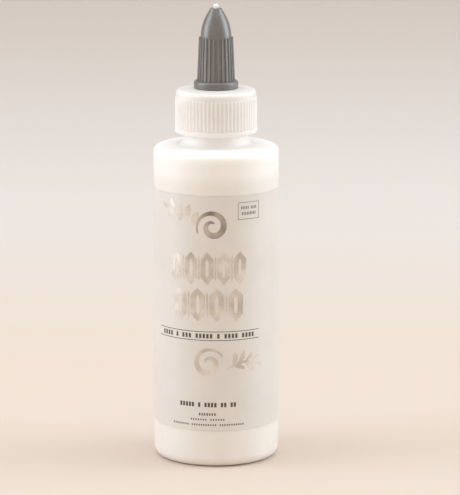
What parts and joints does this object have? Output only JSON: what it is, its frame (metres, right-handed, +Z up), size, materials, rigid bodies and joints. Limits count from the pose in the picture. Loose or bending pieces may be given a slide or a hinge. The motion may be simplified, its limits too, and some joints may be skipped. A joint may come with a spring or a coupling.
{
  "type": "glue applicator bottle",
  "caption": "Round squeeze bottle of white glue with a ribbed white screw closure and a grey twist-open nozzle that seals on a central pin.",
  "frame": {"origin": "centre of the base on the surface that the bottle stands on", "axes": "+Z up along the bottle's axis to the nozzle's tip; the label's front faces -Y and its seam is at +Y"},
  "size_m": [0.0416, 0.0416, 0.1518],
  "materials": {
    "bottle_plastic": "milky translucent blow-moulded polyethylene, soft satin",
    "closure_plastic": "white moulded polypropylene, satin",
    "nozzle_plastic": "grey moulded plastic with a faint pearl, glossy nose",
    "liner_foam": "closed-cell polyethylene foam",
    "label_film": "clear film printed in silver foil and dark grey",
    "glue_fill": "white water-based adhesive"
  },
  "bodies": {
    "bottle": {"bottle": "bottle_plastic", "wrap_label": "label_film"},
    "glue": {"glue": "glue_fill"},
    "closure": {"closure": "closure_plastic"},
    "liner": {"sealing_liner": "liner_foam"},
    "nozzle": {"nozzle": "nozzle_plastic"}
  },
  "joints": [
    {"name": "closure_turn", "type": "hinge", "parent": "bottle", "child": "glue", "pos_m": [0, 0, 0.1129], "axis": [0, 0, 1], "range_deg": [0, 540]},
    {"name": "closure_lift", "type": "slide", "parent": "glue", "child": "closure", "axis": [0, 0, 1], "range_m": [0, 0.0048]},
    {"name": "nozzle_turn", "type": "hinge", "parent": "closure", "child": "liner", "pos_m": [0, 0, 0.1284], "axis": [0, 0, 1], "range_deg": [0, 180]},
    {"name": "nozzle_lift", "type": "slide", "parent": "liner", "child": "nozzle", "axis": [0, 0, 1], "range_m": [0, 0.0031]}
  ],
  "couplings": [
    {"joint": "closure_lift", "follows": "closure_turn", "m_per_rad": 0.00050532},
    {"joint": "nozzle_lift", "follows": "nozzle_turn", "m_per_rad": 0.00095493}
  ]
}
